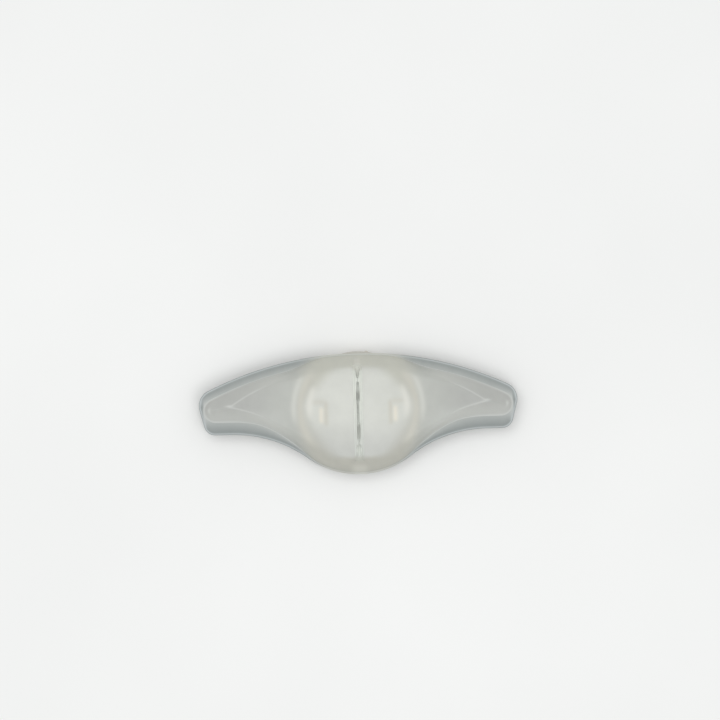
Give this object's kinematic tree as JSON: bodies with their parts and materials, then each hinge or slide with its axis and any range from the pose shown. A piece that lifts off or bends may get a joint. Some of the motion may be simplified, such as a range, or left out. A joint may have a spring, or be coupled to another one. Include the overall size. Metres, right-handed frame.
{
  "type": "spoke wheel light",
  "caption": "Winged frosted wheel light that snaps onto a spoke: domed lens, white light core with side-facing LEDs, round rear cup with push button and charging port.",
  "frame": {"origin": "middle of the bounding box, on the flat back of the rear cup", "axes": "+X along the wings, +Y from the rounded belly to the long top edge, +Z out through the dome"},
  "size_m": [0.1348, 0.052, 0.0191],
  "materials": {
    "frosted_clear": "frosted translucent polycarbonate",
    "soft_clear": "soft translucent silicone",
    "core_white": "satin white",
    "cup_grey": "satin grey",
    "flap_rubber": "soft matte",
    "button_rubber": "soft matte",
    "seal_rubber": "matte",
    "board_green": "solder mask over glass laminate",
    "led_board": "pale solder mask",
    "led_cream": "cream package with a phosphor dish",
    "cell_foil": "pressed foil pouch",
    "tape_yellow": "thin adhesive film",
    "lead_red": "insulated wire",
    "lead_black": "insulated wire",
    "black_plastic": "moulded",
    "chip_black": "moulded package",
    "socket_steel": "folded sheet",
    "contact_gold": "plated",
    "capacitor_tan": "fired",
    "resistor_black": "glazed face",
    "charge_lens": "tinted lens",
    "screw_steel": "zinc plated"
  },
  "bodies": {
    "housing": {"front_shell": "frosted_clear", "back_plate": "frosted_clear", "spoke_grip": "soft_clear", "light_core": "core_white", "engine_cup": "cup_grey", "cup_gasket": "seal_rubber", "main_board": "board_green", "left_led_board": "led_board", "right_led_board": "led_board", "left_led": "led_cream", "right_led": "led_cream", "battery_cell": "cell_foil", "battery_tape": "tape_yellow", "battery_lead_red": "lead_red", "battery_lead_black": "lead_black", "switch_body": "black_plastic", "usb_socket": "socket_steel", "usb_tongue": "black_plastic", "usb_contacts": "contact_gold", "controller_chip": "chip_black", "charger_chip": "chip_black", "led_drivers": "chip_black", "capacitors": "capacitor_tan", "resistors": "resistor_black", "charge_led": "charge_lens", "housing_screws": "screw_steel"},
    "button": {"power_button": "button_rubber", "switch_plunger": "black_plastic"},
    "flap": {"port_flap": "flap_rubber"}
  },
  "joints": [
    {"name": "button_press", "type": "slide", "parent": "housing", "child": "button", "axis": [0, 0, 1], "range_m": [0, 0.0003], "stiffness_N_per_m": 1500},
    {"name": "flap_hinge", "type": "hinge", "parent": "housing", "child": "flap", "pos_m": [-0.0069, 0.0239, 0.0025], "axis": [0, 0, 1], "range_deg": [0, 85]}
  ]
}
